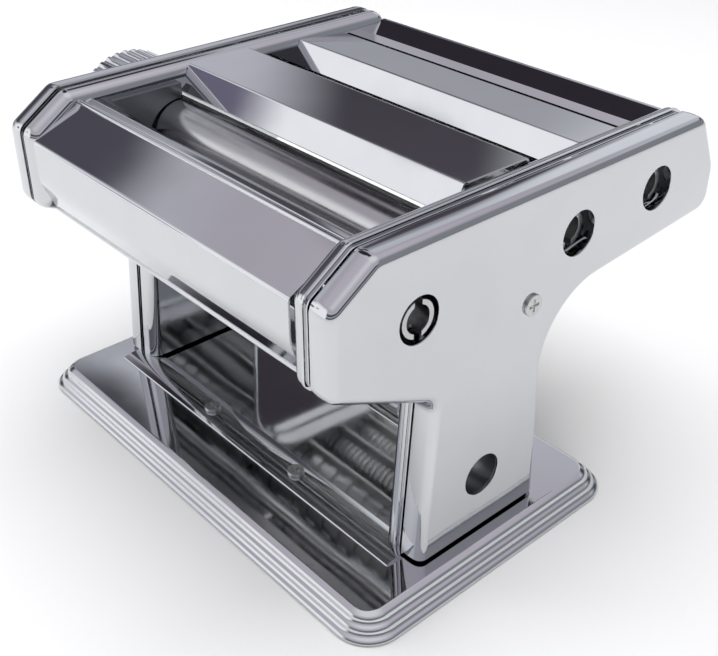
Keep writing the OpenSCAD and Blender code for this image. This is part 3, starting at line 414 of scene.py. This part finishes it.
def worked(node, width=EDGE_BREAK):
    """A finished copy of a CAD node: loose triangles are merged, those that lie FLAT to each
    other are joined again, and edges sharper than CREASE get a bevel of the width."""
    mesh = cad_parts[node].data.copy()
    mesh.name = "finished_" + node
    work = bmesh.new()
    work.from_mesh(mesh)
    bmesh.ops.remove_doubles(work, verts=work.verts, dist=WELD)
    bmesh.ops.dissolve_limit(work, angle_limit=FLAT, verts=work.verts, edges=work.edges)
    work.to_mesh(mesh)
    work.free()
    mesh.shade_smooth()
    mesh.set_sharp_from_angle(angle=CREASE)
    piece = bpy.data.objects.new(mesh.name, mesh)
    scene.collection.objects.link(piece)
    if width:
        bevel = piece.modifiers.new("broken_edges", "BEVEL")
        bevel.width = width
        bevel.segments = BREAK_STEPS
        bevel.limit_method = "ANGLE"
        bevel.angle_limit = CREASE
    return piece


def small_piece(node, body, finish, width=EDGE_BREAK):
    """A CAD node that keeps its shape, with its edges broken and its finish put on."""
    hold(worked(node, width), body, finish, node)


rubber = metal("moulded_rubber", RUBBER_COLOUR, roughness=0.7, streak_scale=500, haze=0.15)
rubber.node_tree.nodes["Principled BSDF"].inputs["Metallic"].default_value = 0
steel = metal(
    "rolled_steel", STEEL_COLOUR, roughness=0.27, streak=(1, 14, 14), streak_scale=90,
    wave=0.01, haze=0.12,
)
small_piece("rubber_feet", "housing", rubber, FOOT_BREAK)
small_piece("foot_screws", "housing", steel)

# Cross straps
# Two strips of chromed steel, slightly domed across, that lie on the base between the side
# frames, in front of and behind the catching space. Screws and nuts hold them down.
STRAP_HALF, STRAP_W, STRAP_H = 94 * MM, 15.5 * MM, 1.5 * MM
STRAP_DOME, STRAP_EDGE = 0.95 * MM, 0.45 * MM
DOME_POINTS, EDGE_POINTS = 17, 6
STRAPS = {"front_cross_strap": -32.7 * MM, "rear_cross_strap": 30 * MM}


def extruded(section, half):
    """A closed section (y, z) drawn out along X, half to each side of the middle."""
    count = len(section)
    left = np.column_stack([np.full(count, -half), section])
    right = np.column_stack([np.full(count, half), section])
    ends = [np.arange(count)[None, :], count + np.arange(count)[None, :]]
    return at_base(np.vstack([left, right])), [belt(2, count), *ends]


# The strap's top is a parabola between two edges, and each edge is a quarter circle.
across = np.linspace(1, -1, DOME_POINTS)
dome_half = STRAP_W / 2 - STRAP_EDGE
dome = np.column_stack([dome_half * across, STRAP_H - STRAP_DOME * across**2])
edge_turn = np.linspace(0, np.pi / 2, EDGE_POINTS)
edge_out = STRAP_W / 2 - STRAP_EDGE * (1 - np.cos(edge_turn))
edge_up = STRAP_H - STRAP_DOME - STRAP_EDGE * (1 - np.sin(edge_turn))
strap_edge = np.column_stack([edge_out, edge_up])
strap_foot = [[-STRAP_W / 2, 0], [STRAP_W / 2, 0]]
strap_section = np.vstack([strap_foot, strap_edge[:-1], dome, (strap_edge * (-1, 1))[-2::-1]])
for strap_name, strap_y in STRAPS.items():
    strap = build("domed_" + strap_name, [extruded(strap_section + (strap_y, BASE_TOP), STRAP_HALF)])
    hold(strap, "housing", chrome, strap_name)
small_piece("strap_screws", "housing", steel)
small_piece("strap_nuts", "housing", steel)

# Side plates
# Each side is two pressed shells of chromed steel with a gap between them: an inner frame
# that carries the bearings, its edge turned out, and an outer cover over the gears.
# All four have one outline, with corners (y, z, radius) measured from the base's middle.


def metres(rows):
    """Rows of numbers in millimetres, in metres."""
    return [tuple(number * MM for number in row) for row in rows]


SIDE_CORNERS = metres([
    (-54.5, 150.6, 6), (-73.8, 137.6, 6), (-73.8, 104.4, 6), (-26.7, 82.7, 7), (-32.7, -6, 6),
    (35.9, -6, 6), (29.5, 99.9, 30), (131.1, 107.6, 8), (131.1, 127, 14), (119, 150.6, 7),
])
SIDE_FOOT, SIDE_CROWN, LIP, WALL_STEPS = 11 * MM, 0.22 * MM, 0.35 * MM, 8
COVER_SEAM, COVER_OUT, COVER_SHEET, COVER_ROUND = 92.5 * MM, 102.5 * MM, 1 * MM, 3.8 * MM
FRAME_EDGE, FRAME_IN, FRAME_SHEET, FRAME_ROUND = 89.5 * MM, 82 * MM, 1.2 * MM, 5.6 * MM
CRANK_PORTS = metres([(-36, 121.5, 8.9), (44.2, 125.2, 8.9), (90.9, 128.5, 8.9)])
CLAMP_PORT, COVER_SCREW, KNOB_PORT, AXLE_PORT = metres([
    (0.9, 36.8, 8.9), (21, 104.5, 2.03), (-5, 120.74, 8.8), (-5, 120.74, 12.5),
])


def rounding(depth, radius):
    """Rows of a wall of that depth that rolls over into the flat in a quarter circle. The
    wall bulges: its two ends lie inside its middle by SIDE_CROWN, along a parabola."""
    u = np.linspace(-1, 1, WALL_STEPS + 1)[:-1]
    wall = zip(SIDE_CROWN * u**2, (depth - radius) * (u + 1) / 2)
    t = np.linspace(0, np.pi / 2, WALL_STEPS + 1)
    roll_in = SIDE_CROWN * np.cos(t) + radius * (1 - np.cos(t))
    return [*wall, *zip(roll_in, depth - radius * (1 - np.sin(t)))]


def side_shell(name, side, x_edge, x_flat, sheet, radius, holes):
    """A side plate: the outline stands in the YZ plane, its wall runs from x_edge and rolls
    over into the flat at x_flat. Side is 1 for the right one and -1 for its mirror image."""
    rows = rounding(abs(x_flat - x_edge), radius)
    outwards = 1 if x_flat > x_edge else -1
    outline, normals = rounded(SIDE_CORNERS)
    parts = []
    for points, groups in pressed(outline, normals, rows, sheet, holes, LIP):
        x = side * (x_edge + outwards * points[:, 2])
        parts.append((at_base(np.column_stack([x, points[:, :2]])), groups))
    return build(name, parts, cut_below=SIDE_FOOT)


cover_form = (COVER_SEAM, COVER_OUT, COVER_SHEET, COVER_ROUND)
frame_form = (FRAME_EDGE, FRAME_IN, FRAME_SHEET, FRAME_ROUND)
right_cover_ports = [*CRANK_PORTS, CLAMP_PORT, COVER_SCREW]
right_cover = side_shell("right_side_cover", 1, *cover_form, right_cover_ports)
left_cover = side_shell("left_side_cover", -1, *cover_form, [KNOB_PORT, COVER_SCREW])
right_frame = side_shell("right_inner_frame", 1, *frame_form, [CLAMP_PORT, AXLE_PORT])
left_frame = side_shell("left_inner_frame", -1, *frame_form, [])
hold(right_cover, "housing", chrome, "right_cover")
hold(left_cover, "housing", chrome, "left_cover")
hold(right_frame, "housing", chrome, "right_frame")
hold(left_frame, "housing", chrome, "left_frame")

# Fastenings of the side plates
# Turned steel: blackened stand-offs that carry the covers, their cross-head screws, and
# the rods that hold the two frames apart, with a blackened screw in each end.
DULL_COLOUR = (0.045, 0.045, 0.05)
dull = metal("dull_plate", DULL_COLOUR, roughness=0.42, haze=0.15)
small_piece("cover_screws", "housing", steel)
small_piece("tie_rods", "housing", steel)
small_piece("cover_standoffs", "housing", dull)
small_piece("tie_rod_screws", "housing", dull)

# Bearings
# Bushes of sintered bronze, pressed into the frames, in which the rollers turn, and the
# steel bridge outside the right frame that carries the adjustable roller's axle.
BRONZE_COLOUR = (0.52, 0.36, 0.17)
bronze = metal("sintered_bronze", BRONZE_COLOUR, roughness=0.35, streak_scale=400, haze=0.15)
for bearing in ("drive_bushes", "cutter_bushes", "axle_sleeve"):
    small_piece(bearing, "housing", bronze)
small_piece("axle_bridge", "housing", steel)
small_piece("bridge_screws", "housing", steel)

# Smooth rollers
# Two steel rollers, plated and ground to a satin face, each with a gear on its right end.
# The driven one turns in the frames, the other one on bushes that the axle carries.
SATIN_COLOUR = (0.54, 0.54, 0.55)
CUT_STEEL_COLOUR = (0.30, 0.31, 0.33)
satin = metal(
    "satin_plate", SATIN_COLOUR, roughness=0.15, streak=(1, 10, 10), streak_scale=70,
    wave=0.01, haze=0.08,
)
cut_steel = metal(
    "cut_steel", CUT_STEEL_COLOUR, roughness=0.28, streak=(12, 1, 1), streak_scale=120,
    haze=0.12,
)
small_piece("drive_roller", "drive_roller", satin)
small_piece("drive_gear", "drive_roller", cut_steel)
small_piece("adjustable_roller", "adjustable_roller", satin)
small_piece("adjustable_gear", "adjustable_roller", cut_steel)
small_piece("float_bushes", "float_bushes", bronze)

# Thickness setting
# A steel index plate with nine holes on the left frame, and an eccentric axle that the
# plated knob turns. A spring holds the knob's pin in a hole until the knob is pulled out.
KNOB_BREAK = 0.35 * MM
small_piece("index_plate", "housing", steel)
small_piece("index_plate_screws", "housing", steel)
for axle_piece in ("eccentric_axle", "knob_washer", "knob_screw"):
    small_piece(axle_piece, "eccentric_axle", steel)
small_piece("knob_spring", "eccentric_axle", steel, width=0)
small_piece("thickness_knob", "thickness_knob", chrome, KNOB_BREAK)
small_piece("index_pin", "thickness_knob", steel)

# Cutters
# Two pairs of ribbed steel rollers whose rings run in each other's grooves. The crank
# drives one of each pair, and a pair of gears behind the right cover turns the other.
FINE_BREAK = 0.08 * MM
for cutter_body in ("wide_drive", "wide_driven", "narrow_drive", "narrow_driven"):
    small_piece(cutter_body + "_cutter", cutter_body, steel, FINE_BREAK)
    small_piece(cutter_body + "_gear", cutter_body, cut_steel)

# Guards, scrapers and combs
# Bent dark steel guards close the ends of the roller slot. Scrapers keep the dough off the
# smooth rollers and combs lift it out of the cutters' grooves.
for guard in ("left_dough_guard", "right_dough_guard"):
    small_piece(guard, "housing", cut_steel)
for stripper in ("front_scraper", "rear_scraper", "wide_combs", "narrow_combs"):
    small_piece(stripper, "housing", steel, FINE_BREAK)

# Clamp socket
# A short tube of dark steel low in the right side, between frame and cover, that takes
# the arm of a table clamp.
small_piece("clamp_tube", "housing", cut_steel)

# Bent covers and guides
# Strips of 0.8 mm chromed sheet folded on a brake: the front and back covers, the feed
# plate and the two guides between the openings. Free edges and the guides' front crests
# are rolled into a bead. A path has corners (y, z, radius) and is seen from the right side.
PANEL_SHEET, PANEL_HALF = 0.8 * MM, 82 * MM
HEM, CREST_DROP, HEM_POINTS, BEND_STEPS = 1.2 * MM, 0.25 * MM, 24, 10
FRONT_SLOPE = [(-50.7, 146.4, 0), (-73.2, 134.8, 2.4), (-73.2, 117, 22), (-67, 103.4, 0)]
FEED_LIP = [(-48.4, 139.8, 0), (-48.4, 146.2, 1), (-44.7, 146.9, 1.2), (-43, 138.8, 0)]
MIDDLE_RIDGE = [(-1.8, 139.4, 0), (3.7, 150.3, 1), (36.6, 150.3, 2.5), (42.2, 139.8, 0)]
REAR_RIDGE = [(60, 138.2, 0), (65.5, 148, 1), (94, 145.2, 1.4), (95.6, 139.8, 0)]
BACK_SLOPE = [
    (106.6, 139.9, 0), (109, 142.4, 1.2), (119.7, 148.3, 2.4), (130.5, 127.1, 12),
    (130.5, 117, 5), (126, 112.4, 0),
]
LEFT_OF_PATH, RIGHT_OF_PATH = -1, 1
PANELS = {
    "front_cover": (FRONT_SLOPE, LEFT_OF_PATH, ("start", "end")),
    "front_feed_plate": (FEED_LIP, RIGHT_OF_PATH, ()),
    "middle_guide": (MIDDLE_RIDGE, RIGHT_OF_PATH, ("crest",)),
    "rear_guide": (REAR_RIDGE, RIGHT_OF_PATH, ("crest",)),
    "back_cover": (BACK_SLOPE, RIGHT_OF_PATH, ("end",)),
}


def right_of(heading):
    """The unit normal to the right of a heading (y, z), as one row: (z, -y) / its length."""
    return np.array([[heading[1], -heading[0]]]) / np.linalg.norm(heading)


def bent_path(corners):
    """Open path through corners (y, z, radius), each inner one an arc. Returns the points
    and their unit normals to the path's right."""
    spots = np.array([corner[:2] for corner in corners])
    points, normals = [spots[:1]], [right_of(spots[1] - spots[0])]
    for k, corner in enumerate(corners[1:-1], 1):
        arc, out = corner_arc(spots[k - 1], spots[k], spots[k + 1], corner[2], BEND_STEPS)
        points.append(arc)
        normals.append(out)
    normals.append(right_of(spots[-1] - spots[-2]))
    return np.vstack([*points, spots[-1:]]), np.vstack(normals)


for panel_name, (panel_corners, inner_side, hems) in PANELS.items():
    outer, right_normals = bent_path(metres(panel_corners))
    inner = outer + right_normals * inner_side * PANEL_SHEET
    panel_parts = [extruded(np.vstack([outer, inner[::-1]]), PANEL_HALF)]
    hem_spots = {
        "start": (outer[0] + inner[0]) / 2,
        "end": (outer[-1] + inner[-1]) / 2,
        "crest": np.array(panel_corners[1][:2]) * MM + (HEM, -HEM - CREST_DROP),
    }
    panel_parts += [extruded(circle(HEM_POINTS) * HEM + hem_spots[hem], PANEL_HALF) for hem in hems]
    panel = build("bent_" + panel_name, panel_parts)
    hold(panel, "housing", chrome, panel_name)
